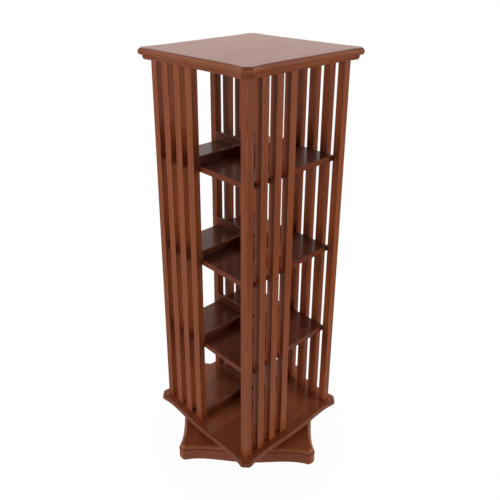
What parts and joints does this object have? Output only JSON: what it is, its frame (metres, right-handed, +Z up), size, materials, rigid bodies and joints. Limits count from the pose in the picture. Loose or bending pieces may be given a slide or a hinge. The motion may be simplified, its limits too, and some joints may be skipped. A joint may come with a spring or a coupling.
{
  "type": "revolving bookcase",
  "caption": "Tall square bookcase of shelves held between upright slats, which turns on a central pole above a shaped, moulded plinth.",
  "frame": {"origin": "on the floor, at the centre of the plinth's underside, on the axis that the case turns about", "axes": "+Z up along the turning axis; X and Y square to the sides of the case at rest; the plinth stands at 45 degrees to the case"},
  "size_m": [0.6676, 0.6676, 1.436],
  "materials": {
    "mahogany_case": "French-polished mahogany, mid red-brown, for the posts, slats and bottom board",
    "mahogany_shelf": "polished mahogany, darker, for the shelves and book stops",
    "mahogany_top": "high-gloss French-polished mahogany for the top board and its moulding",
    "mahogany_plinth": "polished mahogany for the plinth",
    "steel": "drawn steel tube, bright",
    "cast_iron": "black cast iron",
    "bronze": "turned bronze",
    "brass": "brass wood screws"
  },
  "bodies": {
    "plinth": {"plinth_base": "mahogany_plinth", "plinth_top": "mahogany_plinth", "pole_flange": "cast_iron", "centre_pole": "steel", "pivot_pin": "steel", "flange_screw_1": "brass", "flange_screw_2": "brass", "flange_screw_3": "brass", "flange_screw_4": "brass"},
    "case": {"bottom_board": "mahogany_case", "shelf_low": "mahogany_shelf", "shelf_mid": "mahogany_shelf", "shelf_high": "mahogany_shelf", "post_front_left": "mahogany_case", "post_front_right": "mahogany_case", "post_back_right": "mahogany_case", "post_back_left": "mahogany_case", "slat_front_1": "mahogany_case", "slat_front_2": "mahogany_case", "slat_front_3": "mahogany_case", "slat_right_1": "mahogany_case", "slat_right_2": "mahogany_case", "slat_right_3": "mahogany_case", "slat_back_1": "mahogany_case", "slat_back_2": "mahogany_case", "slat_back_3": "mahogany_case", "slat_left_1": "mahogany_case", "slat_left_2": "mahogany_case", "slat_left_3": "mahogany_case", "stop_bottom_front": "mahogany_shelf", "stop_bottom_right": "mahogany_shelf", "stop_bottom_back": "mahogany_shelf", "stop_bottom_left": "mahogany_shelf", "stop_low_front": "mahogany_shelf", "stop_low_right": "mahogany_shelf", "stop_low_back": "mahogany_shelf", "stop_low_left": "mahogany_shelf", "stop_mid_front": "mahogany_shelf", "stop_mid_right": "mahogany_shelf", "stop_mid_back": "mahogany_shelf", "stop_mid_left": "mahogany_shelf", "stop_high_front": "mahogany_shelf", "stop_high_right": "mahogany_shelf", "stop_high_back": "mahogany_shelf", "stop_high_left": "mahogany_shelf", "top_board": "mahogany_top", "top_moulding_front": "mahogany_top", "top_moulding_right": "mahogany_top", "top_moulding_back": "mahogany_top", "top_moulding_left": "mahogany_top", "pole_bush": "bronze", "pivot_plate": "cast_iron", "plate_screw_1": "brass", "plate_screw_2": "brass", "plate_screw_3": "brass", "plate_screw_4": "brass"}
  },
  "joints": [
    {"name": "case_turn", "type": "hinge", "parent": "plinth", "child": "case", "pos_m": [0, 0, 0.069], "axis": [0, 0, 1], "continuous": true}
  ]
}
